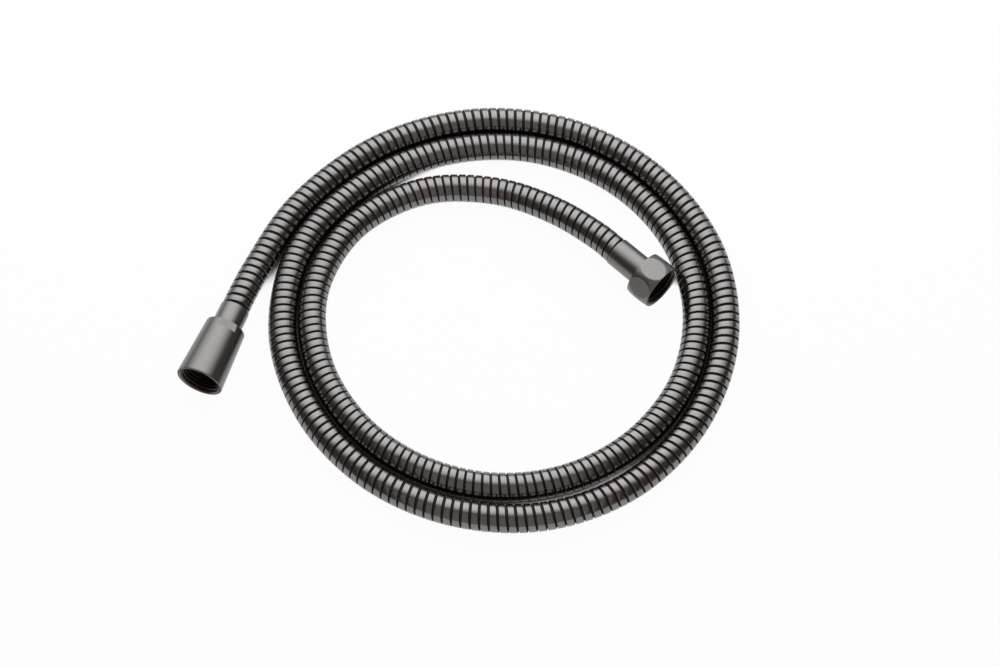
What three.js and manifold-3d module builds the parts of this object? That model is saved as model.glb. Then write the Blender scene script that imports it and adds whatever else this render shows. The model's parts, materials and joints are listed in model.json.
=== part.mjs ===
// A 1.6 m metal shower hose, lying coiled flat in two and a half loose turns.
// A wound metal sheath covers a soft inner tube. One end has a long conical nut, which takes a
// hand shower, and the other a short hex nut, which goes on the wall outlet.
// Millimetres, +Z up. The floor is z = 0, and the origin is under the middle of the coil.

import * as THREE from "three";
import { mergeVertices } from "three/addons/utils/BufferGeometryUtils.js";
import Module from "manifold-3d";

const wasm = await Module();
wasm.setup();

// Clearances
const fit_gap = 0.3;
const running_gap = 0.35;

// Hose: the wound sheath, and the soft tube inside it
const hose_diameter = 14.2;
const tube_diameter = 9.6;
const tube_bore = 7.0;

// G 1/2 pipe thread of both nuts. Only its bore is cut here.
const thread_minor = 18.631;
const thread_mouth = 21.4;

// Conical nut, with two wrench flats at its narrow end
const cone_nut_length = 32.5;
const cone_mouth_diameter = 23.8;
const cone_shoulder_diameter = 20.6;
const cone_mouth_round = 0.4;
const cone_shoulder_round = 0.8;
const cone_ledge_depth = 16.0;
const wrench_flat_span = 18.5;
const wrench_flat_length = 4.4;
const wrench_flat_turn = THREE.MathUtils.degToRad(17);

// Hex nut, turned to a barrel shape before its flats are cut
const hex_nut_length = 13.0;
const hex_across_flats = 23.0;
const hex_barrel_diameter = 25.4;
const hex_end_diameter = 23.1;
const hex_ledge_depth = 11.0;

// Pieces inside each end
const washer_thickness = 1.8;
const washer_bore = 11.0;
const flange_thickness = 2.0;
const insert_bore = 4.6;
const nipple_length = 13.0;
const barb_count = 4;
const barb_height = 0.25;
const crimp_wall = 0.6;
const crimp_into_sheath = 6.0;
const tube_into_ferrule = 16.0;

// Ferrules: how far they stand over the hose, and how much of each shows behind its nut
const ferrule_step = 0.4;
const ferrule_edge = 0.4;
const cone_ferrule_showing = 11.5;
const hex_ferrule_showing = 17.7;

// Where each mouth lies on the floor, and the way that it points
const cone_mouth_place = [-128.8, -41.4];
const cone_heading = THREE.MathUtils.degToRad(-110.4);
const hex_mouth_place = [100.9, 10.8];
const hex_heading = THREE.MathUtils.degToRad(-43.5);

// Straight stretch of hose outside each ferrule
const straight_lead = 12.0;

// Fineness of the round shapes
const nut_segments = 40;
const inner_segments = 24;
const round_steps = 4;
const barrel_steps = 8;
const sheath_sides = 12;
const tube_sides = 8;
const hose_steps = 76;

// Radii that follow from those sizes
const hose_radius = hose_diameter / 2;
const tube_radius = tube_diameter / 2;
const crimp_inner_radius = tube_radius + fit_gap;
const crimp_outer_radius = crimp_inner_radius + crimp_wall;
const sleeve_bore_radius = crimp_outer_radius + fit_gap;
const ferrule_radius = hose_radius + ferrule_step;
const nut_back_radius = ferrule_radius + running_gap;
const thread_radius = thread_minor / 2;
const flange_radius = thread_radius - fit_gap;
const nipple_radius = tube_bore / 2 - fit_gap;
const cone_mouth_radius = cone_mouth_diameter / 2;
const cone_shoulder_radius = cone_shoulder_diameter / 2;

// The conical nut lies on its side, so its axis slopes by half its taper.
const cone_run = cone_nut_length - cone_mouth_round - cone_shoulder_round;
const cone_slope = Math.atan((cone_mouth_radius - cone_shoulder_radius) / cone_run);
const cone_mouth_height = (cone_mouth_radius + cone_mouth_round * Math.tan(cone_slope)) * Math.cos(cone_slope);

// The two ends of the hose. Depths are measured back from the mouth along the axis.
const cone_end = {
  mouth: new THREE.Vector3(...cone_mouth_place, cone_mouth_height),
  outward: new THREE.Vector3(
    Math.cos(cone_heading) * Math.cos(cone_slope),
    Math.sin(cone_heading) * Math.cos(cone_slope),
    Math.sin(cone_slope),
  ),
  ledge_depth: cone_ledge_depth,
  ferrule_end: cone_nut_length + cone_ferrule_showing,
};

const hex_end = {
  mouth: new THREE.Vector3(...hex_mouth_place, hex_across_flats / 2),
  outward: new THREE.Vector3(Math.cos(hex_heading), Math.sin(hex_heading), 0),
  ledge_depth: hex_ledge_depth,
  ferrule_end: hex_nut_length + hex_ferrule_showing,
};

// Route of the hose's centre line over the floor, from the conical nut round to the hex nut
const floor_route = [
  [-103.6, 24.8, hose_radius + 0.75],
  [-83.1, 61.2, hose_radius + 0.1],
  [-42.5, 96.1, hose_radius],
  [8.0, 111.6, hose_radius],
  [59.1, 104.2, hose_radius],
  [101.2, 75.8, hose_radius],
  [127.4, 33.0, hose_radius],
  [131.9, -15.5, hose_radius],
  [115.9, -60.4, hose_radius],
  [84.0, -94.0, hose_radius],
  [41.5, -110.8, hose_radius],
  [-3.0, -108.5, hose_radius],
  [-43.4, -89.8, hose_radius],
  [-74.2, -56.3, hose_radius],
  [-89.4, -12.0, hose_radius],
  [-81.8, 35.6, hose_radius],
  [-51.6, 72.1, hose_radius],
  [-10.4, 92.8, hose_radius],
  [35.0, 95.1, hose_radius],
  [76.6, 77.7, hose_radius],
  [106.0, 45.3, hose_radius],
  [118.2, 4.0, hose_radius],
  [111.2, -37.3, hose_radius],
  [88.0, -70.0, hose_radius],
  [54.7, -90.1, hose_radius],
  [17.0, -95.6, hose_radius],
  [-19.7, -85.9, hose_radius],
  [-50.3, -63.3, hose_radius],
  [-70.6, -29.0, hose_radius],
  [-73.8, 12.1, hose_radius],
  [-55.2, 48.7, hose_radius],
  [-20.4, 69.2, hose_radius + 0.1],
  [17.0, 69.4, hose_radius + 0.5],
  [47.1, 56.7, hose_radius + 2.9],
];

function depthPoint(end, depth) {
  return end.mouth.clone().addScaledVector(end.outward, -depth);
}

// Inside the ferrule, at its end, and at the end of the straight lead outside it
function endRoute(end) {
  return [
    depthPoint(end, end.ferrule_end - tube_into_ferrule),
    depthPoint(end, end.ferrule_end),
    depthPoint(end, end.ferrule_end + straight_lead),
  ];
}

const route = new THREE.CatmullRomCurve3([
  ...endRoute(cone_end),
  ...floor_route.map((point) => new THREE.Vector3(...point)),
  ...endRoute(hex_end).reverse(),
]);
route.arcLengthDivisions = 4000;

// A stretch of the route, given by how far it stays from each of the route's ends
class HoseStretch extends THREE.Curve {
  constructor(inset) {
    super();
    this.inset = inset;
  }

  getPoint(t, target = new THREE.Vector3()) {
    const length = route.getLength();
    const along = this.inset + (length - 2 * this.inset) * t;
    return route.getPointAt(along / length, target);
  }
}

function polygon(Kind, radius, sides) {
  const outline = new Kind();
  for (let i = 0; i < sides; i += 1) {
    const angle = (2 * Math.PI * (i + 0.5)) / sides;
    const x = radius * Math.cos(angle);
    const y = radius * Math.sin(angle);
    if (i === 0) outline.moveTo(x, y);
    else outline.lineTo(x, y);
  }
  outline.closePath();
  return outline;
}

// A tube along the hose. Its outside has its corners on the outer radius, and its bore has its
// flat sides on the bore radius, so that what fits a round hose fits it too.
function hoseTube(outer_radius, bore_radius, sides, inset) {
  const section = polygon(THREE.Shape, outer_radius, sides);
  section.holes.push(polygon(THREE.Path, bore_radius / Math.cos(Math.PI / sides), sides));
  return new THREE.ExtrudeGeometry(section, { steps: hose_steps, extrudePath: new HoseStretch(inset) });
}

// A turned piece. Its profile is a list of [radius, depth] pairs round the closed section.
function turned(profile, segments) {
  const points = profile.map(([radius, depth]) => new THREE.Vector2(radius, -depth));
  if (THREE.ShapeUtils.area(points) < 0) points.reverse();
  points.push(points[0].clone());
  return new THREE.LatheGeometry(points, segments).rotateX(Math.PI / 2);
}

// Points of a quarter round, from the direction at one angle to the direction at another
function arc(radius, depth, size, from, to) {
  const points = [];
  for (let i = 0; i <= round_steps; i += 1) {
    const angle = from + ((to - from) * i) / round_steps;
    points.push([radius + size * Math.cos(angle), depth + size * Math.sin(angle)]);
  }
  return points;
}

function toSolid(geometry) {
  const bare = geometry.clone();
  bare.deleteAttribute("normal");
  bare.deleteAttribute("uv");
  const merged = mergeVertices(bare);
  return new wasm.Manifold(new wasm.Mesh({
    numProp: 3,
    vertProperties: new Float32Array(merged.attributes.position.array),
    triVerts: new Uint32Array(merged.index.array),
  }));
}

function toGeometry(solid) {
  const mesh = solid.getMesh();
  const geometry = new THREE.BufferGeometry();
  geometry.setAttribute("position", new THREE.BufferAttribute(mesh.vertProperties, mesh.numProp));
  geometry.setIndex(new THREE.BufferAttribute(mesh.triVerts, 1));
  geometry.computeVertexNormals();
  return geometry;
}

// The hole through a nut: a chamfered mouth, the threaded bore, a ledge, and the narrow back
function nutBore(length, ledge_depth) {
  const mouth_radius = thread_mouth / 2;
  const beyond = 1;
  return [
    [0, -beyond],
    [mouth_radius + beyond, -beyond],
    [thread_radius, mouth_radius - thread_radius],
    [thread_radius, ledge_depth],
    [nut_back_radius, ledge_depth],
    [nut_back_radius, length + beyond],
    [0, length + beyond],
  ];
}

function coneNut() {
  const outside = [
    [0, 0],
    ...arc(cone_mouth_radius - cone_mouth_round, cone_mouth_round, cone_mouth_round, -Math.PI / 2, 0),
    ...arc(
      cone_shoulder_radius - cone_shoulder_round,
      cone_nut_length - cone_shoulder_round,
      cone_shoulder_round,
      0,
      Math.PI / 2,
    ),
    [0, cone_nut_length],
  ];
  let solid = toSolid(turned(outside, nut_segments));
  solid = solid.subtract(toSolid(turned(nutBore(cone_nut_length, cone_ledge_depth), nut_segments)));
  const beyond = 2;
  for (const side of [0, Math.PI]) {
    const cutter = new THREE.BoxGeometry(
      cone_shoulder_diameter,
      beyond * 2,
      wrench_flat_length + beyond,
    );
    cutter.translate(
      0,
      wrench_flat_span / 2 + beyond,
      -cone_nut_length + wrench_flat_length - (wrench_flat_length + beyond) / 2,
    );
    cutter.rotateZ(side - wrench_flat_turn);
    solid = solid.subtract(toSolid(cutter));
  }
  return toGeometry(solid);
}

function hexNut() {
  const end_radius = hex_end_diameter / 2;
  const rise = (hex_barrel_diameter - hex_end_diameter) / 2;
  const outside = [[0, 0]];
  for (let i = 0; i <= barrel_steps; i += 1) {
    const along = i / barrel_steps;
    const bulge = 1 - (2 * along - 1) ** 2;
    outside.push([end_radius + rise * bulge, hex_nut_length * along]);
  }
  outside.push([0, hex_nut_length]);
  const prism = new THREE.CylinderGeometry(
    hex_across_flats / Math.sqrt(3),
    hex_across_flats / Math.sqrt(3),
    hex_nut_length * 2,
    6,
  );
  prism.rotateY(Math.PI / 6).rotateX(Math.PI / 2);
  let solid = toSolid(turned(outside, nut_segments)).intersect(toSolid(prism));
  solid = solid.subtract(toSolid(turned(nutBore(hex_nut_length, hex_ledge_depth), nut_segments)));
  return toGeometry(solid);
}

// The flange of the insert lies just in front of its nut's ledge.
function flangeFront(end) {
  return end.ledge_depth - fit_gap - flange_thickness;
}

// The rubber washer lies just in front of the flange.
function washer(end) {
  const back = flangeFront(end) - fit_gap;
  const front = back - washer_thickness;
  return turned([
    [washer_bore / 2, front],
    [flange_radius, front],
    [flange_radius, back],
    [washer_bore / 2, back],
  ], inner_segments);
}

// The insert: a flange that the nut pulls on, a neck in the ferrule, and a barbed nipple in the tube
function insert(end) {
  const front = flangeFront(end);
  const flange_back = front + flange_thickness;
  const neck_radius = sleeve_bore_radius - fit_gap;
  const neck_end = end.ferrule_end - tube_into_ferrule - fit_gap;
  const profile = [
    [insert_bore / 2, front],
    [flange_radius, front],
    [flange_radius, flange_back],
    [neck_radius, flange_back],
    [neck_radius, neck_end],
  ];
  const barb_pitch = nipple_length / barb_count;
  for (let i = 0; i < barb_count; i += 1) {
    profile.push([nipple_radius, neck_end + barb_pitch * i]);
    profile.push([nipple_radius - barb_height, neck_end + barb_pitch * (i + 1)]);
  }
  profile.push([insert_bore / 2, neck_end + nipple_length]);
  return turned(profile, inner_segments);
}

// The ferrule: a plain sleeve from the flange to the end of the wound sheath
function ferrule(end) {
  const front = flangeFront(end) + flange_thickness + fit_gap;
  const back = end.ferrule_end;
  return turned([
    [sleeve_bore_radius, front],
    [ferrule_radius - ferrule_edge, front],
    [ferrule_radius, front + ferrule_edge],
    [ferrule_radius, back - ferrule_edge],
    [ferrule_radius - ferrule_edge, back],
    [sleeve_bore_radius, back],
  ], nut_segments);
}

// The crimped sleeve grips the tube on the nipple and lines up the ferrule with the sheath.
function crimpSleeve(end) {
  const front = end.ferrule_end - tube_into_ferrule + fit_gap;
  const back = end.ferrule_end + crimp_into_sheath;
  return turned([
    [crimp_inner_radius, front],
    [crimp_outer_radius, front],
    [crimp_outer_radius, back],
    [crimp_inner_radius, back],
  ], inner_segments);
}

const materials = {
  metal: { color: 0x8b8785, roughness: 0.3, metalness: 1.0 },
  brass: { color: 0xb59a55, roughness: 0.35, metalness: 1.0 },
  rubber: { color: 0x1c1c1c, roughness: 0.8, metalness: 0.0 },
  soft_tube: { color: 0x2a2a2b, roughness: 0.6, metalness: 0.0 },
};

function piece(name, geometry, material) {
  const mesh = new THREE.Mesh(geometry, new THREE.MeshStandardMaterial(materials[material]));
  mesh.name = name;
  return mesh;
}

// All pieces of one end, in a group whose +Z leaves the mouth and whose +Y is up
function fitting(name, end, nut_name, nut_geometry) {
  const group = new THREE.Group();
  const across = new THREE.Vector3(0, 0, 1).cross(end.outward).normalize();
  const upward = end.outward.clone().cross(across);
  group.quaternion.setFromRotationMatrix(new THREE.Matrix4().makeBasis(across, upward, end.outward));
  group.position.copy(end.mouth);
  group.add(piece(nut_name, nut_geometry, "metal"));
  group.add(piece(`${nut_name}_washer`, washer(end), "rubber"));
  group.add(piece(`${name}_insert`, insert(end), "brass"));
  group.add(piece(`${name}_ferrule`, ferrule(end), "metal"));
  group.add(piece(`${name}_crimp_sleeve`, crimpSleeve(end), "metal"));
  return group;
}

const hose = new THREE.Group();
const sheath_inset = tube_into_ferrule + fit_gap;
hose.add(piece("hose_sheath", hoseTube(hose_radius, sleeve_bore_radius, sheath_sides, sheath_inset), "metal"));
hose.add(piece("inner_tube", hoseTube(tube_radius, tube_bore / 2, tube_sides, 0), "soft_tube"));
hose.add(fitting("cone_end", cone_end, "cone_nut", coneNut()));
hose.add(fitting("hex_end", hex_end, "hex_nut", hexNut()));

export default hose;
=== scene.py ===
"""A coiled metal shower hose with its two nuts. Metres, +Z up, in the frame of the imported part."""

import json
import math

import bmesh
import bpy
import numpy as np
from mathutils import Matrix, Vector


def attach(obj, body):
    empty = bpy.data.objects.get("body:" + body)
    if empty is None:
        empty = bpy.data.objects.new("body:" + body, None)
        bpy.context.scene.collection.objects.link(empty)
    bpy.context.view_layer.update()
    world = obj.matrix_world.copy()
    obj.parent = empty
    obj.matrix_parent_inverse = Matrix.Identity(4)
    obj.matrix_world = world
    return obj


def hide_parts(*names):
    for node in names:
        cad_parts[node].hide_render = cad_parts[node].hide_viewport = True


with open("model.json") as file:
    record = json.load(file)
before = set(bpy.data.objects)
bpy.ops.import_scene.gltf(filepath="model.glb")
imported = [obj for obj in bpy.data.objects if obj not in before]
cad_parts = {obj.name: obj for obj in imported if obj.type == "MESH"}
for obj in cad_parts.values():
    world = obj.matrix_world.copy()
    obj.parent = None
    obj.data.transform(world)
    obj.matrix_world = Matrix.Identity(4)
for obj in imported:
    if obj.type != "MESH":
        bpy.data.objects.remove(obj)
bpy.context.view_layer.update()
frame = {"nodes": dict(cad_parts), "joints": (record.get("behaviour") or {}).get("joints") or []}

MM = 0.001

# Hose
HOSE_RADIUS = 7.1 * MM
SHEATH_BORE_RADIUS = 6.0 * MM
TUBE_IN_FERRULE = 16.0 * MM
SHEATH_GAP = 0.3 * MM
STRAIGHT_LEAD = 12.0 * MM

# Strip that the sheath is wound from: the width of its outer face, and its spacing along the
# hose at some distances from the start of the route
FACE_WIDTH = 3.04 * MM
SPACING_PLACES = [0.0, 60 * MM, 620 * MM, 690 * MM, 1564 * MM]
SPACINGS = [4.50 * MM, 4.42 * MM, 4.38 * MM, 4.18 * MM, 4.15 * MM]
NARROWEST_GROOVE = 0.3 * MM

# How much of the bend goes into the groove's width, and how much narrower the groove is at the
# hose's sides than on top. Underneath it narrows by twice as much.
GROOVE_SHARE_OF_BEND = 0.2
SIDE_NARROWING = 0.35

# Steps of the wound mesh in each turn, the turns that it has past each end before it is trimmed,
# and how near an end, in hose radii, a face is trimmed
STEPS_A_TURN = 24
SPARE_TURNS = 1.6
TRIM_REACH = 1.6

# Where the groove next to each ferrule lies on top of the hose: its distance from the ferrule,
# and its angle from the hose's side towards up, in turns
FIRST_GROOVE_GAP = 1.0 * MM
FIRST_GROOVE_TURN = 110 / 360
LAST_GROOVE_GAP = 0.6 * MM
LAST_GROOVE_TURN = 70 / 360

# Section of the groove between two turns of the strip. Each point has the side of the groove
# that it keeps to, how far it lies past that side, and its depth below the hose's surface.
FREE_EDGE, BEND = -1, 1
GROOVE_SECTION = [
    (FREE_EDGE, 0.50 * MM, 0.0),
    (FREE_EDGE, 0.12 * MM, 0.02 * MM),
    (FREE_EDGE, 0.0, 0.14 * MM),
    (FREE_EDGE, -0.05 * MM, 0.95 * MM),
    (FREE_EDGE, -0.20 * MM, 0.95 * MM),
    (FREE_EDGE, -0.26 * MM, 0.80 * MM),
    (BEND, -0.18 * MM, 0.78 * MM),
    (BEND, -0.02 * MM, 0.22 * MM),
    (BEND, 0.12 * MM, 0.06 * MM),
    (BEND, 0.55 * MM, 0.0),
]
# Columns of the groove's walls and floor, whose faces take the painted shade of the groove
PAINTED_SHADE_COLUMNS = range(2, 7)
OUTER_METAL, GROOVE_PAINTED_SHADE = 0, 1

# G 1/2 pipe thread, and the bright rim round its mouth
THREAD_MINOR_RADIUS = 18.631 / 2 * MM
THREAD_MAJOR_RADIUS = 20.955 / 2 * MM
THREAD_PITCH = 1.814 * MM
THREAD_MOUTH_RADIUS = 21.6 / 2 * MM
RIM_DEPTH = 0.45 * MM
THREAD_ROWS = 60

# Ferrules, and the holes at the backs of the nuts
FERRULE_RADIUS = 7.5 * MM
FERRULE_EDGE = 0.4 * MM
NUT_BACK_RADIUS = 7.85 * MM
NUT_BACK_CHAMFER = 0.25 * MM
FIT_GAP = 0.3 * MM
WASHER_THICKNESS = 1.8 * MM
WASHER_BORE_RADIUS = 5.5 * MM
WASHER_EDGE = 0.2 * MM
FLANGE_THICKNESS = 2.0 * MM
FLANGE_RADIUS = THREAD_MINOR_RADIUS - FIT_GAP

# Conical nut
CONE_LENGTH = 32.5 * MM
CONE_MOUTH_RADIUS = 23.8 / 2 * MM
CONE_SHOULDER_RADIUS = 20.6 / 2 * MM
CONE_MOUTH_ROUND = 0.4 * MM
CONE_SHOULDER_ROUND = 0.7 * MM
CONE_LEDGE_DEPTH = 16.0 * MM
CONE_FERRULE_SHOWING = 11.5 * MM
WRENCH_FLAT_SPAN = 18.5 * MM
WRENCH_FLAT_LENGTH = 4.4 * MM
WRENCH_FLAT_ANGLE = math.radians(73)
WRENCH_FLAT_EDGE = 0.08 * MM

# Least cosine of the angle off a wrench flat that is divided by, well outside the flat
LEAST_COSINE = 0.1
CONE_BODY_ROWS = 40

# Hex nut
HEX_LENGTH = 13.0 * MM
HEX_ACROSS_FLATS = 23.0 * MM
HEX_BARREL_RADIUS = 25.4 / 2 * MM
HEX_END_RADIUS = 23.1 / 2 * MM
HEX_LEDGE_DEPTH = 11.0 * MM
HEX_FERRULE_SHOWING = 17.7 * MM
HEX_FLAT_EDGE = 0.12 * MM
HEX_ROWS = 56

# Meshes
NUT_SEGMENTS = 240
SMOOTH_ANGLE = math.radians(32)
MERGE_DISTANCE = 0.0005 * MM
ROUTE_STEPS = 40

# Materials: the part of a noise's range that changes the roughness, and the depth of its bumps
NOISE_LOW, NOISE_HIGH = 0.3, 0.7
BUMP_DEPTH = 0.02 * MM

# Camera
CAMERA_ELEVATION = math.radians(63.5)
CAMERA_DISTANCE = 1.15
CAMERA_TARGET = Vector((0.0195, -0.0090, 0.0))
CAMERA_LENS = 82.15
CAMERA_SENSOR = 36.0

# Floor: its white share is what the camera sees as plain white, and the rest takes the light.
# A painted shade darkens it in closed gaps, by how much of the space within reach is open.
FLOOR_REACH = 10.0
FLOOR_DROP = -0.2 * MM
FLOOR_COLOR = (0.9, 0.9, 0.9)
FLOOR_ROUGHNESS = 0.9
FLOOR_WHITE_SHARE = 0.96
SHADE_REACH = 12 * MM
SHADE_RANGE = (0.15, 0.25)
SHADE_SAMPLES = 40
# Colour of the painted shade in closed gaps
SHADE_COLOR = (0.018, 0.010, 0.008)

# Studio round the set
STUDIO_COLOR = (0.130, 0.090, 0.078)

# Softbox: its place, then its edges in distances from the object, and its brightness from the
# middle to a side and from its lower to its upper edge
SOFTBOX_ELEVATION = math.radians(50)
SOFTBOX_DISTANCE = 0.8
SOFTBOX_HALF_WIDTH = 1.5
SOFTBOX_LOWER = -0.75
SOFTBOX_UPPER = 1.3
SOFTBOX_PEAK = 2.5
SOFTBOX_ACROSS = [
    (0.0, 1.0), (0.2, 0.96), (0.33, 0.84), (0.5, 0.62), (0.67, 0.45), (0.83, 0.30), (1.0, 0.14),
]
SOFTBOX_UPWARD = [
    (0.0, 0.80), (0.07, 0.94), (0.22, 1.0), (0.32, 0.99), (0.42, 0.94),
    (0.49, 0.88), (0.59, 0.78), (0.76, 0.38), (0.88, 0.18), (1.0, 0.08),
]

# Weak panel in front
FILL_PLACE = (0.0, -1.70, 1.43)
FILL_SIZE = (2.8, 3.2)
FILL_RADIANCE = 0.26

# Route of the hose's centre line over the floor: x, y, and its rise over lying flat
FLOOR_ROUTE = [
    (-0.1036, 0.0248, 0.00075),
    (-0.0831, 0.0612, 0.0001),
    (-0.0425, 0.0961, 0.0),
    (0.0080, 0.1116, 0.0),
    (0.0591, 0.1042, 0.0),
    (0.1012, 0.0758, 0.0),
    (0.1274, 0.0330, 0.0),
    (0.1319, -0.0155, 0.0),
    (0.1159, -0.0604, 0.0),
    (0.0840, -0.0940, 0.0),
    (0.0415, -0.1108, 0.0),
    (-0.0030, -0.1085, 0.0),
    (-0.0434, -0.0898, 0.0),
    (-0.0742, -0.0563, 0.0),
    (-0.0894, -0.0120, 0.0),
    (-0.0818, 0.0356, 0.0),
    (-0.0516, 0.0721, 0.0),
    (-0.0104, 0.0928, 0.0),
    (0.0350, 0.0951, 0.0),
    (0.0766, 0.0777, 0.0),
    (0.1060, 0.0453, 0.0),
    (0.1182, 0.0040, 0.0),
    (0.1112, -0.0373, 0.0),
    (0.0880, -0.0700, 0.0),
    (0.0547, -0.0901, 0.0),
    (0.0170, -0.0956, 0.0),
    (-0.0197, -0.0859, 0.0),
    (-0.0503, -0.0633, 0.0),
    (-0.0706, -0.0290, 0.0),
    (-0.0738, 0.0121, 0.0),
    (-0.0552, 0.0487, 0.0),
    (-0.0204, 0.0692, 0.0001),
    (0.0170, 0.0694, 0.0005),
    (0.0471, 0.0567, 0.0029),
]


class End:
    """One end of the hose: its nut's mouth and axis, and a frame to place turned pieces in."""

    def __init__(self, joint_name, ledge_depth, ferrule_end):
        joint = next(j for j in frame["joints"] if j["name"] == joint_name)
        self.mouth = np.array(joint["pos_m"], float)
        outward = np.array(joint["axis"], float)
        self.outward = outward / np.linalg.norm(outward)
        across = np.cross((0, 0, 1), self.outward)
        self.across = across / np.linalg.norm(across)
        self.upward = np.cross(self.outward, self.across)
        self.ledge_depth = ledge_depth
        self.ferrule_end = ferrule_end
        self.flange_front = ledge_depth - FIT_GAP - FLANGE_THICKNESS

    def at_depth(self, depth):
        return self.mouth - depth * self.outward

    def place(self, radius, angle, depth):
        """Points from cylinder coordinates, with the angle from across towards upward"""
        radius, angle, depth = np.broadcast_arrays(radius, angle, depth)
        side = radius * np.cos(angle)
        rise = radius * np.sin(angle)
        return (
            self.mouth
            + side[..., None] * self.across
            + rise[..., None] * self.upward
            - depth[..., None] * self.outward
        )


CONE_END = End("cone_nut_spin", CONE_LEDGE_DEPTH, CONE_LENGTH + CONE_FERRULE_SHOWING)
HEX_END = End("hex_nut_spin", HEX_LEDGE_DEPTH, HEX_LENGTH + HEX_FERRULE_SHOWING)


def make_camera():
    camera = bpy.data.objects.new("camera", bpy.data.cameras.new("camera"))
    bpy.context.scene.collection.objects.link(camera)
    back = Vector((0.0, -math.cos(CAMERA_ELEVATION), math.sin(CAMERA_ELEVATION)))
    camera.location = CAMERA_TARGET + back * CAMERA_DISTANCE
    camera.rotation_mode = "QUATERNION"
    camera.rotation_quaternion = (-back).to_track_quat("-Z", "Y")
    camera.data.lens = CAMERA_LENS
    camera.data.sensor_width = CAMERA_SENSOR
    bpy.context.scene.camera = camera


# Route

def catmull_rom(points, steps):
    """Points of a centripetal Catmull-Rom curve through the given points"""
    points = np.array(points, float)
    before = 2 * points[0] - points[1]
    after = 2 * points[-1] - points[-2]
    padded = np.vstack([before, points, after])
    share = (np.arange(steps) / steps)[:, None]
    curve = []
    for p0, p1, p2, p3 in zip(padded, padded[1:], padded[2:], padded[3:]):
        d0, d1, d2 = (math.sqrt(np.linalg.norm(b - a)) for a, b in ((p0, p1), (p1, p2), (p2, p3)))
        leave = ((p1 - p0) / d0 - (p2 - p0) / (d0 + d1) + (p2 - p1) / d1) * d1
        arrive = ((p2 - p1) / d1 - (p3 - p1) / (d1 + d2) + (p3 - p2) / d2) * d1
        square = 3 * (p2 - p1) - 2 * leave - arrive
        cube = 2 * (p1 - p2) + leave + arrive
        curve.append(p1 + leave * share + square * share**2 + cube * share**3)
    return np.vstack([*curve, points[-1:]])


class Route:
    """The hose's centre line, with its directions and bend at any distance along it"""

    def __init__(self):
        floor = [(x, y, HOSE_RADIUS + rise) for x, y, rise in FLOOR_ROUTE]
        self.points = catmull_rom(
            [*self.lead(CONE_END), *floor, *reversed(self.lead(HEX_END))], ROUTE_STEPS
        )
        steps = np.linalg.norm(np.diff(self.points, axis=0), axis=1)
        self.along = np.concatenate([[0.0], np.cumsum(steps)])
        self.length = self.along[-1]
        tangent = np.gradient(self.points, self.along, axis=0)
        self.tangent = tangent / np.linalg.norm(tangent, axis=1)[:, None]
        self.bend = np.gradient(self.tangent, self.along, axis=0)

    @staticmethod
    def lead(end):
        """Points inside the ferrule, at its end, and at the end of the straight lead outside it"""
        places = (-TUBE_IN_FERRULE, 0.0, STRAIGHT_LEAD)
        return [end.at_depth(end.ferrule_end + place) for place in places]

    def value(self, table, along):
        """A table's rows, one for each point of the route, read between them at any distance"""
        return np.stack([np.interp(along, self.along, table[:, i]) for i in range(3)], axis=-1)

    def directions(self, along):
        """Tangent, side and up, with side, up and tangent right-handed"""
        tangent = self.value(self.tangent, along)
        tangent /= np.linalg.norm(tangent, axis=-1)[..., None]
        up = np.array((0.0, 0.0, 1.0)) - tangent[..., 2:3] * tangent
        up /= np.linalg.norm(up, axis=-1)[..., None]
        return tangent, np.cross(up, tangent), up

    def outward(self, along, angle):
        """Direction away from the centre line, with the angle from side towards up"""
        _, side, up = self.directions(along)
        return np.cos(angle)[..., None] * side + np.sin(angle)[..., None] * up

    def round(self, along, angle, radius):
        """Points at a radius round the centre line"""
        from_centre = np.asarray(radius)[..., None] * self.outward(along, angle)
        return self.value(self.points, along) + from_centre

    def stretch(self, along, angle):
        """How much longer the hose's surface is there than its centre line"""
        bend = self.value(self.bend, along)
        return 1.0 - HOSE_RADIUS * np.sum(self.outward(along, angle) * bend, axis=-1)


# Meshes

def new_object(name, mesh, materials):
    for material in materials:
        mesh.materials.append(material)
    obj = bpy.data.objects.new(name, mesh)
    bpy.context.scene.collection.objects.link(obj)
    return obj


def finish_mesh(mesh):
    mesh.shade_smooth()
    mesh.set_sharp_from_angle(angle=SMOOTH_ANGLE)


def ring_faces(rows, segments):
    """Faces of a closed surface of rows that each go round, with the last row joined to the first"""
    row, column = np.meshgrid(np.arange(rows), np.arange(segments), indexing="ij")
    next_row, next_column = (row + 1) % rows, (column + 1) % segments
    corners = [row * segments + column, next_row * segments + column,
               next_row * segments + next_column, row * segments + next_column]
    return np.stack(corners, axis=-1).reshape(-1, 4)


def turned(name, end, radii, depths, materials, kinds=None):
    """A turned piece, from the radius of each row at each angle and the depth of each row

    kinds gives the material of the band between each row and the next, where there are several.
    """
    rows, segments = radii.shape
    angle = 2 * math.pi * np.arange(segments) / segments
    points = end.place(radii, angle[None, :], np.asarray(depths)[:, None])
    mesh = bpy.data.meshes.new(name)
    mesh.from_pydata(points.reshape(-1, 3).tolist(), [], ring_faces(rows, segments).tolist())
    if kinds is not None:
        mesh.polygons.foreach_set("material_index", np.repeat(kinds, segments))
    work = bmesh.new()
    work.from_mesh(mesh)
    bmesh.ops.remove_doubles(work, verts=work.verts, dist=MERGE_DISTANCE)
    bmesh.ops.recalc_face_normals(work, faces=work.faces)
    work.to_mesh(mesh)
    work.free()
    finish_mesh(mesh)
    return new_object(name, mesh, materials)


def plain_ring(name, end, profile, materials, segments=96):
    """A turned piece that is round all the way, from its closed section of (radius, depth) pairs"""
    radii = np.array([[radius] * segments for radius, _ in profile])
    return turned(name, end, radii, [depth for _, depth in profile], materials)


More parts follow.
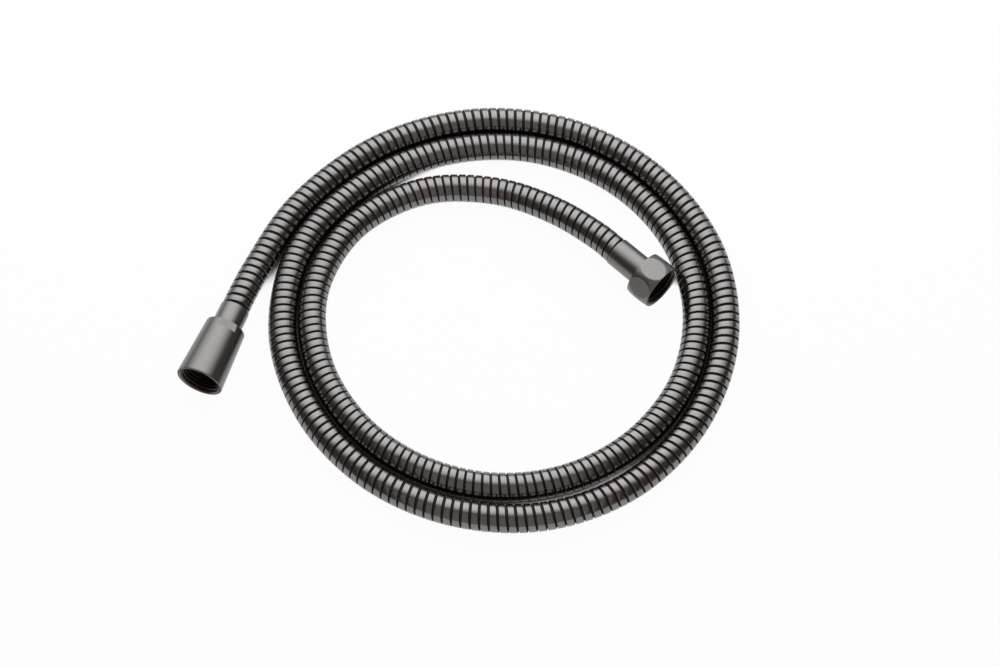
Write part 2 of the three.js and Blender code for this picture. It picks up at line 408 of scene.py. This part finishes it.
def quarter(radius, depth, size, start, stop, steps=5):
    """Points of a quarter round in a section"""
    angles = np.linspace(start, stop, steps)
    return [(radius + size * math.cos(a), depth + size * math.sin(a)) for a in angles]


def soft_min(a, b, size):
    """The smaller of two radii, with the edge between them rounded"""
    overlap = np.maximum(size - np.abs(a - b), 0.0) / size
    return np.minimum(a, b) - overlap**2 * size / 4


# Sheath

def turns_along(route):
    """Turns of the strip up to each point of the route, so that a groove ends at each ferrule"""
    spacing = np.interp(route.along[1:], SPACING_PLACES, SPACINGS)
    turns = np.concatenate([[0.0], np.cumsum(np.diff(route.along) / spacing)])
    first_place = TUBE_IN_FERRULE + FIRST_GROOVE_GAP
    last_place = route.length - TUBE_IN_FERRULE - LAST_GROOVE_GAP
    first, last = np.interp((first_place, last_place), route.along, turns)
    past_whole = LAST_GROOVE_TURN - FIRST_GROOVE_TURN
    wanted = round(last - first - past_whole) + past_whole
    return FIRST_GROOVE_TURN + (turns - first) * wanted / (last - first)


def half_groove(centre, angle, stretch):
    """Half the groove's width, which is wider on the outside of a bend and on top of the hose"""
    opened = 1.0 + GROOVE_SHARE_OF_BEND * (stretch - 1.0)
    groove = np.interp(centre, SPACING_PLACES, SPACINGS) * opened - FACE_WIDTH
    groove *= 1.0 - SIDE_NARROWING * (1.0 - np.sin(angle))
    return np.maximum(groove, NARROWEST_GROOVE) / 2


def strip_faces(rows):
    """Faces of the wound strip and the material of each, for rows across the groove

    Each row's last point is joined to the first point of the row one turn on, by the outer face.
    """
    width = len(GROOVE_SECTION)
    faces, kinds = [], []
    row = np.arange(rows - 1)
    for column in range(width - 1):
        corners = np.stack([row, row + 1, row + 1, row], axis=1) * width
        faces.append(corners + (column, column, column + 1, column + 1))
        kinds += [GROOVE_PAINTED_SHADE if column in PAINTED_SHADE_COLUMNS else OUTER_METAL] * len(row)
    row = np.arange(rows - 1 - STEPS_A_TURN)
    next_turn = row + STEPS_A_TURN
    corners = np.stack([row, row + 1, next_turn + 1, next_turn], axis=1) * width
    faces.append(corners + (width - 1, width - 1, 0, 0))
    kinds += [OUTER_METAL] * len(row)
    return np.vstack(faces), kinds


def wound_sheath(route, materials):
    """The sheath: one strip wound in a right-hand helix, with a groove between its turns"""
    start = TUBE_IN_FERRULE + SHEATH_GAP
    stop = route.length - start
    turn_of = turns_along(route)

    first, last = np.interp((start, stop), route.along, turn_of)
    turn = np.arange(first - SPARE_TURNS, last + SPARE_TURNS, 1 / STEPS_A_TURN)
    centre = np.interp(turn, turn_of, route.along)
    angle = 2 * math.pi * turn
    stretch = route.stretch(centre, angle)
    half = half_groove(centre, angle, stretch)

    along = np.stack(
        [centre + side * (half + past) / stretch for side, past, _ in GROOVE_SECTION], axis=1
    )
    depth = np.array([depth for _, _, depth in GROOVE_SECTION])
    angles = np.repeat(angle[:, None], len(depth), axis=1)
    points = route.round(along, angles, np.broadcast_to(HOSE_RADIUS - depth, along.shape))
    grain = np.stack([angles * HOSE_RADIUS, along, np.zeros_like(along)], axis=-1)

    faces, kinds = strip_faces(len(turn))
    mesh = bpy.data.meshes.new("hose_sheath_strip")
    mesh.from_pydata(points.reshape(-1, 3).tolist(), [], faces.tolist())
    mesh.polygons.foreach_set("material_index", kinds)
    coordinates = mesh.attributes.new("grain", "FLOAT_VECTOR", "POINT")
    coordinates.data.foreach_set("vector", grain.reshape(-1).astype(np.float32))
    trim_ends(mesh, route, start, stop)
    finish_mesh(mesh)
    return new_object("hose_sheath_strip", mesh, materials)


def trim_ends(mesh, route, start, stop):
    """Cuts the wound surface square at both ends and closes it with a bore"""
    work = bmesh.new()
    work.from_mesh(mesh)
    near = TRIM_REACH * HOSE_RADIUS
    for along, sign in ((start, -1), (stop, 1)):
        point = Vector(route.value(route.points, along))
        out = sign * Vector(route.directions(along)[0])
        faces = [f for f in work.faces if (f.calc_center_median() - point).length < near]
        edges = (e for f in faces for e in f.edges)
        verts = (v for f in faces for v in f.verts)
        # Each once, and not through a set, whose order changes from run to run
        geometry = list(dict.fromkeys([*faces, *edges, *verts]))
        bmesh.ops.bisect_plane(work, geom=geometry, plane_co=point, plane_no=out, clear_outer=True)
    add_bore(work, route, start, stop)
    bmesh.ops.recalc_face_normals(work, faces=work.faces)
    work.to_mesh(mesh)
    work.free()


def add_bore(work, route, start, stop, sides=16, rings=170):
    """A tube inside the sheath, joined to the sheath's outside by a flat ring at each end"""
    outer_rims = [e for e in work.edges if e.is_boundary]
    angle = 2 * math.pi * np.arange(sides) / sides
    along = np.linspace(start, stop, rings)
    angles, alongs = np.meshgrid(angle, along)
    points = route.round(alongs, angles, np.full(alongs.shape, SHEATH_BORE_RADIUS))
    verts = [[work.verts.new(p) for p in ring] for ring in points]
    for a, b in zip(verts, verts[1:]):
        for i in range(sides):
            j = (i + 1) % sides
            work.faces.new((a[i], b[i], b[j], a[j]))
    known = set(outer_rims)
    bore_rims = [e for e in work.edges if e.is_boundary and e not in known]
    start_point = Vector(route.value(route.points, start))
    reach = 2 * HOSE_RADIUS
    for at_start in (True, False):
        loops = [e for e in [*outer_rims, *bore_rims]
                 if ((e.verts[0].co - start_point).length < reach) == at_start]
        bmesh.ops.bridge_loops(work, edges=loops)


# Nuts

def thread_rows(end, angle, depths):
    """Radius of the threaded bore at each depth and angle"""
    turn = depths[:, None] / THREAD_PITCH + angle[None, :] / (2 * math.pi)
    wave = 0.5 - 0.5 * np.cos(2 * math.pi * turn)
    thread_end = end.flange_front - WASHER_THICKNESS
    fade = np.clip((thread_end - depths) / THREAD_PITCH, 0.0, 1.0)[:, None]
    radius = THREAD_MINOR_RADIUS + (THREAD_MAJOR_RADIUS - THREAD_MINOR_RADIUS) * wave * fade
    chamfer = THREAD_MOUTH_RADIUS - depths[:, None]
    return np.maximum(radius, chamfer)


def nut(name, end, length, outer_radii, outer_depths, materials):
    """A nut from the rows of its outside, front to back, and its threaded and plain bores"""
    angle = 2 * math.pi * np.arange(NUT_SEGMENTS) / NUT_SEGMENTS
    back_rows = [
        (NUT_BACK_RADIUS + NUT_BACK_CHAMFER, length),
        (NUT_BACK_RADIUS, length - NUT_BACK_CHAMFER),
        (NUT_BACK_RADIUS, end.ledge_depth),
        (THREAD_MINOR_RADIUS, end.ledge_depth),
    ]
    bore_depths = np.linspace(end.flange_front - WASHER_THICKNESS, 0.0, THREAD_ROWS)
    back_radii = np.array([[radius] * NUT_SEGMENTS for radius, _ in back_rows])
    radii = np.vstack([outer_radii, back_radii, thread_rows(end, angle, bore_depths)])
    depths = np.concatenate([outer_depths, [depth for _, depth in back_rows], bore_depths])
    # The back hole, its ledge, the thread and the face round the mouth take the painted shade, all
    # but the rim at the thread's mouth
    in_bore = np.arange(len(depths)) >= len(outer_depths) + 1
    rim = (np.arange(len(depths)) < len(depths) - 1) & (depths <= RIM_DEPTH)
    return turned(name, end, radii, depths, materials, (in_bore & ~rim).astype(int))


def cone_section(flat_start):
    """Radius and depth of each row of the cone's outside, with two rows where its flats start"""
    mouth_end, shoulder_start = CONE_MOUTH_ROUND, CONE_LENGTH - CONE_SHOULDER_ROUND
    mouth = quarter(
        CONE_MOUTH_RADIUS - CONE_MOUTH_ROUND, mouth_end, CONE_MOUTH_ROUND, -math.pi / 2, 0.0
    )
    shoulder = quarter(
        CONE_SHOULDER_RADIUS - CONE_SHOULDER_ROUND, shoulder_start, CONE_SHOULDER_ROUND,
        0.0, math.pi / 2, steps=9,
    )
    depths = np.linspace(mouth_end, shoulder_start, CONE_BODY_ROWS)[1:-1]
    depths = np.sort(np.append(depths, [flat_start, flat_start]))
    radii = np.interp(
        depths, (mouth_end, shoulder_start), (CONE_MOUTH_RADIUS, CONE_SHOULDER_RADIUS)
    )
    rows = [*mouth, *zip(radii, depths), *shoulder]
    return np.array([radius for radius, _ in rows]), np.array([depth for _, depth in rows])


def cone_nut(materials):
    """The conical nut, with two wrench flats that start at a step in its narrow end"""
    flat_start = CONE_LENGTH - WRENCH_FLAT_LENGTH
    plain, depths = cone_section(flat_start)
    angle = 2 * math.pi * np.arange(NUT_SEGMENTS) / NUT_SEGMENTS
    toward_flat = np.maximum(np.abs(np.cos(angle - WRENCH_FLAT_ANGLE)), LEAST_COSINE)
    to_flat = WRENCH_FLAT_SPAN / 2 / toward_flat
    flat = soft_min(plain[:, None], to_flat[None, :], WRENCH_FLAT_EDGE)
    second = np.argmax(depths == flat_start) + 1
    on_flat = np.arange(len(depths)) >= second
    radii = np.where(on_flat[:, None], flat, plain[:, None])
    return nut("cone_nut_turned", CONE_END, CONE_LENGTH, radii, depths, materials)


def hex_nut(materials):
    """The hex nut, a barrel that six flats are cut into"""
    share = np.linspace(0.0, 1.0, HEX_ROWS)
    bulge = 1 - (2 * share - 1) ** 2
    barrel = HEX_END_RADIUS + (HEX_BARREL_RADIUS - HEX_END_RADIUS) * bulge
    angle = 2 * math.pi * np.arange(NUT_SEGMENTS) / NUT_SEGMENTS
    from_flat = (angle + math.pi / 6 + math.pi / 2) % (math.pi / 3) - math.pi / 6
    flats = HEX_ACROSS_FLATS / 2 / np.cos(from_flat)
    radii = soft_min(barrel[:, None], flats[None, :], HEX_FLAT_EDGE)
    return nut("hex_nut_turned", HEX_END, HEX_LENGTH, radii, share * HEX_LENGTH, materials)


def washer(name, end, materials):
    back = end.flange_front - FIT_GAP
    front = back - WASHER_THICKNESS
    profile = [
        (WASHER_BORE_RADIUS, front + WASHER_EDGE),
        (WASHER_BORE_RADIUS + WASHER_EDGE, front),
        (FLANGE_RADIUS - WASHER_EDGE, front),
        (FLANGE_RADIUS, front + WASHER_EDGE),
        (FLANGE_RADIUS, back),
        (WASHER_BORE_RADIUS, back),
    ]
    return plain_ring(name, end, profile, materials)


def ferrule(name, end, materials):
    front = end.flange_front + FLANGE_THICKNESS + FIT_GAP
    back = end.ferrule_end
    inner = FERRULE_RADIUS - FERRULE_EDGE
    profile = [
        (SHEATH_BORE_RADIUS, front),
        (inner, front),
        (FERRULE_RADIUS, front + FERRULE_EDGE),
        *quarter(inner, back - FERRULE_EDGE, FERRULE_EDGE, 0.0, math.pi / 2),
        (SHEATH_BORE_RADIUS, back),
    ]
    return plain_ring(name, end, profile, materials)


# Materials

def new_material(name, color, metallic, roughness):
    material = bpy.data.materials.new(name)
    material.use_nodes = True
    shader = material.node_tree.nodes["Principled BSDF"]
    shader.inputs["Base Color"].default_value = (*color, 1.0)
    shader.inputs["Metallic"].default_value = metallic
    shader.inputs["Roughness"].default_value = roughness
    return material, shader


def add_noise(material, coordinates, scale, detail=3.0):
    """A noise texture over the given coordinates, and its node"""
    nodes, links = material.node_tree.nodes, material.node_tree.links
    mapping = nodes.new("ShaderNodeMapping")
    mapping.inputs["Scale"].default_value = scale
    links.new(coordinates, mapping.inputs["Vector"])
    noise = nodes.new("ShaderNodeTexNoise")
    noise.inputs["Scale"].default_value = 1.0
    noise.inputs["Detail"].default_value = detail
    links.new(mapping.outputs["Vector"], noise.inputs["Vector"])
    return noise


def vary(material, shader, noise, color_low, color_high, rough_low, rough_high, bump):
    """Lets a noise vary the colour, the roughness and the height of a surface"""
    nodes, links = material.node_tree.nodes, material.node_tree.links
    colors = nodes.new("ShaderNodeMix")
    colors.data_type = "RGBA"
    colors.inputs["A"].default_value = (*color_low, 1.0)
    colors.inputs["B"].default_value = (*color_high, 1.0)
    links.new(noise.outputs["Fac"], colors.inputs["Factor"])
    links.new(colors.outputs["Result"], shader.inputs["Base Color"])
    rough = nodes.new("ShaderNodeMapRange")
    rough.inputs["From Min"].default_value = NOISE_LOW
    rough.inputs["From Max"].default_value = NOISE_HIGH
    rough.inputs["To Min"].default_value = rough_low
    rough.inputs["To Max"].default_value = rough_high
    links.new(noise.outputs["Fac"], rough.inputs["Value"])
    links.new(rough.outputs["Result"], shader.inputs["Roughness"])
    height = nodes.new("ShaderNodeBump")
    height.inputs["Strength"].default_value = bump
    height.inputs["Distance"].default_value = BUMP_DEPTH
    links.new(noise.outputs["Fac"], height.inputs["Height"])
    links.new(height.outputs["Normal"], shader.inputs["Normal"])


def object_coordinates(material):
    return material.node_tree.nodes.new("ShaderNodeTexCoord").outputs["Object"]


def strip_metal():
    """Satin gunmetal of the wound strip, with fine lines that run round the hose"""
    material, shader = new_material("strip_metal", (0.2, 0.195, 0.19), 1.0, 0.22)
    attribute = material.node_tree.nodes.new("ShaderNodeAttribute")
    attribute.attribute_name = "grain"
    noise = add_noise(material, attribute.outputs["Vector"], (150.0, 3000.0, 1.0))
    vary(material, shader, noise, (0.17, 0.166, 0.163), (0.24, 0.234, 0.23), 0.17, 0.27, 0.35)
    return material


def groove_painted_shade():
    """Painted shade inside the groove, under the strip's free edge: a dull near-black in place of
    the shade that falls there
    """
    material, shader = new_material("groove_painted_shade", (0.006, 0.005, 0.0045), 0.0, 0.8)
    noise = add_noise(material, object_coordinates(material), (900.0, 900.0, 900.0))
    vary(material, shader, noise, (0.003, 0.0025, 0.002), (0.009, 0.0075, 0.0065), 0.7, 0.9, 0.2)
    return material


def nut_metal():
    """Softer satin gunmetal of the nuts and ferrules"""
    material, shader = new_material("nut_metal", (0.19, 0.185, 0.18), 1.0, 0.32)
    noise = add_noise(material, object_coordinates(material), (1600.0, 1600.0, 1600.0))
    vary(material, shader, noise, (0.17, 0.166, 0.163), (0.21, 0.205, 0.20), 0.29, 0.35, 0.15)
    return material


def bore_painted_shade():
    """Painted shade of the nuts' mouths and threads: a dull dark brown in place of the shade inside
    them
    """
    material, shader = new_material("bore_painted_shade", (0.050, 0.036, 0.032), 1.0, 0.45)
    noise = add_noise(material, object_coordinates(material), (1300.0, 1300.0, 1300.0))
    vary(material, shader, noise, (0.035, 0.024, 0.021), (0.070, 0.050, 0.045), 0.38, 0.52, 0.3)
    return material


def brass():
    material, shader = new_material("machined_brass", (0.34, 0.27, 0.17), 1.0, 0.35)
    noise = add_noise(material, object_coordinates(material), (700.0, 700.0, 700.0))
    vary(material, shader, noise, (0.29, 0.23, 0.14), (0.38, 0.31, 0.20), 0.28, 0.42, 0.2)
    return material


def rubber():
    material, shader = new_material("black_rubber", (0.03, 0.03, 0.03), 0.0, 0.75)
    noise = add_noise(material, object_coordinates(material), (1200.0, 1200.0, 1200.0))
    vary(material, shader, noise, (0.02, 0.02, 0.02), (0.04, 0.04, 0.04), 0.65, 0.85, 0.5)
    return material


def soft_tube():
    material, shader = new_material("soft_tube", (0.05, 0.05, 0.05), 0.0, 0.5)
    noise = add_noise(material, object_coordinates(material), (300.0, 300.0, 300.0))
    vary(material, shader, noise, (0.04, 0.04, 0.04), (0.06, 0.06, 0.06), 0.45, 0.55, 0.1)
    return material


def paint_node(name, material):
    """Gives a CAD piece its material"""
    node = frame["nodes"][name]
    for material_slot in node.material_slots:
        material_slot.material = material


# Surroundings

def seen_directly(tree):
    """1 for what the camera sees, straight or in metal or glass, and 0 for light on the object"""
    path = tree.nodes.new("ShaderNodeLightPath")
    total = path.outputs["Is Camera Ray"]
    for name in ("Is Glossy Ray", "Is Transmission Ray"):
        both = tree.nodes.new("ShaderNodeMath")
        both.operation = "MAXIMUM"
        tree.links.new(total, both.inputs[0])
        tree.links.new(path.outputs[name], both.inputs[1])
        total = both.outputs[0]
    return total


def multiplied(tree, value, factor):
    """The product of two values, of which the second may be a plain number"""
    node = tree.nodes.new("ShaderNodeMath")
    node.operation = "MULTIPLY"
    tree.links.new(value, node.inputs[0])
    if isinstance(factor, float):
        node.inputs[1].default_value = factor
    else:
        tree.links.new(factor, node.inputs[1])
    return node.outputs[0]


def openness(tree):
    """1 on open floor, and 0 in the closed gap between two turns of hose that lie side by side,
    where the painted shade goes
    """
    shade = tree.nodes.new("ShaderNodeAmbientOcclusion")
    shade.inputs["Distance"].default_value = SHADE_REACH
    shade.samples = SHADE_SAMPLES
    ramp = tree.nodes.new("ShaderNodeMapRange")
    ramp.interpolation_type = "SMOOTHSTEP"
    ramp.inputs["From Min"].default_value, ramp.inputs["From Max"].default_value = SHADE_RANGE
    tree.links.new(shade.outputs["AO"], ramp.inputs["Value"])
    return ramp.outputs["Result"]


def floor_material():
    """White to the camera but for its share of shadow, with a painted brown-black shade in closed
    gaps
    """
    material = bpy.data.materials.new("white_floor")
    material.use_nodes = True
    tree = material.node_tree
    shader = tree.nodes["Principled BSDF"]
    shader.inputs["Base Color"].default_value = (*FLOOR_COLOR, 1.0)
    shader.inputs["Roughness"].default_value = FLOOR_ROUGHNESS
    shader.inputs["Specular IOR Level"].default_value = 0.0
    white = tree.nodes.new("ShaderNodeEmission")
    shaded = tree.nodes.new("ShaderNodeMix")
    shaded.data_type = "RGBA"
    shaded.inputs["A"].default_value = (*SHADE_COLOR, 1.0)
    shaded.inputs["B"].default_value = (1.0, 1.0, 1.0, 1.0)
    tree.links.new(openness(tree), shaded.inputs["Factor"])
    tree.links.new(shaded.outputs["Result"], white.inputs["Color"])
    mix = tree.nodes.new("ShaderNodeMixShader")
    share = multiplied(tree, seen_directly(tree), FLOOR_WHITE_SHARE)
    tree.links.new(share, mix.inputs["Fac"])
    tree.links.new(shader.outputs["BSDF"], mix.inputs[1])
    tree.links.new(white.outputs["Emission"], mix.inputs[2])
    tree.links.new(mix.outputs["Shader"], tree.nodes["Material Output"].inputs["Surface"])
    return material


def make_floor():
    mesh = bpy.data.meshes.new("floor")
    reach = FLOOR_REACH
    corners = [(-reach, -reach, 0), (reach, -reach, 0), (reach, reach, 0), (-reach, reach, 0)]
    mesh.from_pydata(corners, [], [(0, 1, 2, 3)])
    floor = new_object("floor", mesh, [floor_material()])
    floor.location.z = FLOOR_DROP


def make_world():
    """A dim brown studio round the lit set"""
    world = bpy.data.worlds.new("studio")
    world.use_nodes = True
    world.node_tree.nodes["Background"].inputs["Color"].default_value = (*STUDIO_COLOR, 1.0)
    bpy.context.scene.world = world


def add_ramp(tree, value, stops):
    """A ramp through (position, brightness) pairs, whose positions run from 0 to 1"""
    ramp = tree.nodes.new("ShaderNodeValToRGB")
    elements = ramp.color_ramp.elements
    while len(elements) < len(stops):
        elements.new(0.5)
    for element, (position, brightness) in zip(elements, stops):
        element.position = position
        element.color = (brightness, brightness, brightness, 1.0)
    tree.links.new(value, ramp.inputs["Fac"])
    return ramp.outputs["Color"]


def scaled(tree, value, low, high):
    """A value brought from the range between low and high to the range between 0 and 1"""
    node = tree.nodes.new("ShaderNodeMapRange")
    node.inputs["From Min"].default_value = low
    node.inputs["From Max"].default_value = high
    tree.links.new(value, node.inputs["Value"])
    return node.outputs["Result"]


def softbox_cloth():
    """The softbox's white cloth, brightest in the middle and dimmer to its sides and its top"""
    material = bpy.data.materials.new("softbox_cloth")
    material.use_nodes = True
    tree = material.node_tree
    place = tree.nodes.new("ShaderNodeSeparateXYZ")
    tree.links.new(object_coordinates(material), place.inputs["Vector"])
    side = tree.nodes.new("ShaderNodeMath")
    side.operation = "ABSOLUTE"
    tree.links.new(place.outputs["X"], side.inputs[0])
    share_across = scaled(tree, side.outputs[0], 0.0, SOFTBOX_HALF_WIDTH)
    share_upward = scaled(tree, place.outputs["Y"], SOFTBOX_LOWER, SOFTBOX_UPPER)
    across = add_ramp(tree, share_across, SOFTBOX_ACROSS)
    upward = add_ramp(tree, share_upward, SOFTBOX_UPWARD)
    glow = tree.nodes.new("ShaderNodeEmission")
    strength = multiplied(tree, multiplied(tree, across, upward), SOFTBOX_PEAK)
    tree.links.new(strength, glow.inputs["Strength"])
    tree.links.new(glow.outputs["Emission"], tree.nodes["Material Output"].inputs["Surface"])
    return material


def make_softbox():
    """One large softbox behind and above the object, turned to it"""
    mesh = bpy.data.meshes.new("softbox")
    x, low, high = SOFTBOX_HALF_WIDTH, SOFTBOX_LOWER, SOFTBOX_UPPER
    mesh.from_pydata([(-x, low, 0), (x, low, 0), (x, high, 0), (-x, high, 0)], [], [(0, 1, 2, 3)])
    softbox = new_object("softbox", mesh, [softbox_cloth()])
    direction = Vector((0.0, math.cos(SOFTBOX_ELEVATION), math.sin(SOFTBOX_ELEVATION)))
    softbox.location = direction * SOFTBOX_DISTANCE
    softbox.scale = (SOFTBOX_DISTANCE, SOFTBOX_DISTANCE, SOFTBOX_DISTANCE)
    softbox.rotation_mode = "QUATERNION"
    softbox.rotation_quaternion = (-direction).to_track_quat("Z", "Y")
    softbox.visible_camera = False


def make_fill():
    """A weak panel in front, which lifts the side of the object that the softbox doesn't reach"""
    light = bpy.data.lights.new("front_fill", "AREA")
    light.shape = "RECTANGLE"
    light.size, light.size_y = FILL_SIZE
    light.energy = FILL_RADIANCE * math.pi * FILL_SIZE[0] * FILL_SIZE[1]
    fill = bpy.data.objects.new("front_fill", light)
    bpy.context.scene.collection.objects.link(fill)
    fill.location = FILL_PLACE
    fill.rotation_mode = "QUATERNION"
    fill.rotation_quaternion = (-Vector(FILL_PLACE)).to_track_quat("-Z", "Y")


make_camera()
bpy.context.scene.view_settings.view_transform = "Standard"

route = Route()
strip = strip_metal()
groove = groove_painted_shade()
metal = nut_metal()
bore = bore_painted_shade()
rubber_black = rubber()

sheath = wound_sheath(route, [strip, groove])
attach(sheath, "hose")
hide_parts("hose_sheath")

cone_nut_piece = cone_nut([metal, bore])
cone_washer = washer("cone_washer_turned", CONE_END, [rubber_black])
cone_ferrule = ferrule("cone_ferrule_turned", CONE_END, [metal])
hex_nut_piece = hex_nut([metal, bore])
hex_washer = washer("hex_washer_turned", HEX_END, [rubber_black])
hex_ferrule = ferrule("hex_ferrule_turned", HEX_END, [metal])

pieces = [
    (cone_nut_piece, "handset_nut", "cone_nut", "satin_metal"),
    (cone_washer, "handset_nut", "cone_nut_washer", "rubber"),
    (cone_ferrule, "hose", "cone_end_ferrule", "satin_metal"),
    (hex_nut_piece, "outlet_nut", "hex_nut", "satin_metal"),
    (hex_washer, "outlet_nut", "hex_nut_washer", "rubber"),
    (hex_ferrule, "hose", "hex_end_ferrule", "satin_metal"),
]
for piece, body, node, slot in pieces:
    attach(piece, body)
    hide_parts(node)

paint_node("inner_tube", soft_tube())
insert_brass = brass()
for side in ("cone_end", "hex_end"):
    paint_node(f"{side}_insert", insert_brass)
    paint_node(f"{side}_crimp_sleeve", metal)

make_floor()
make_world()
make_softbox()
make_fill()
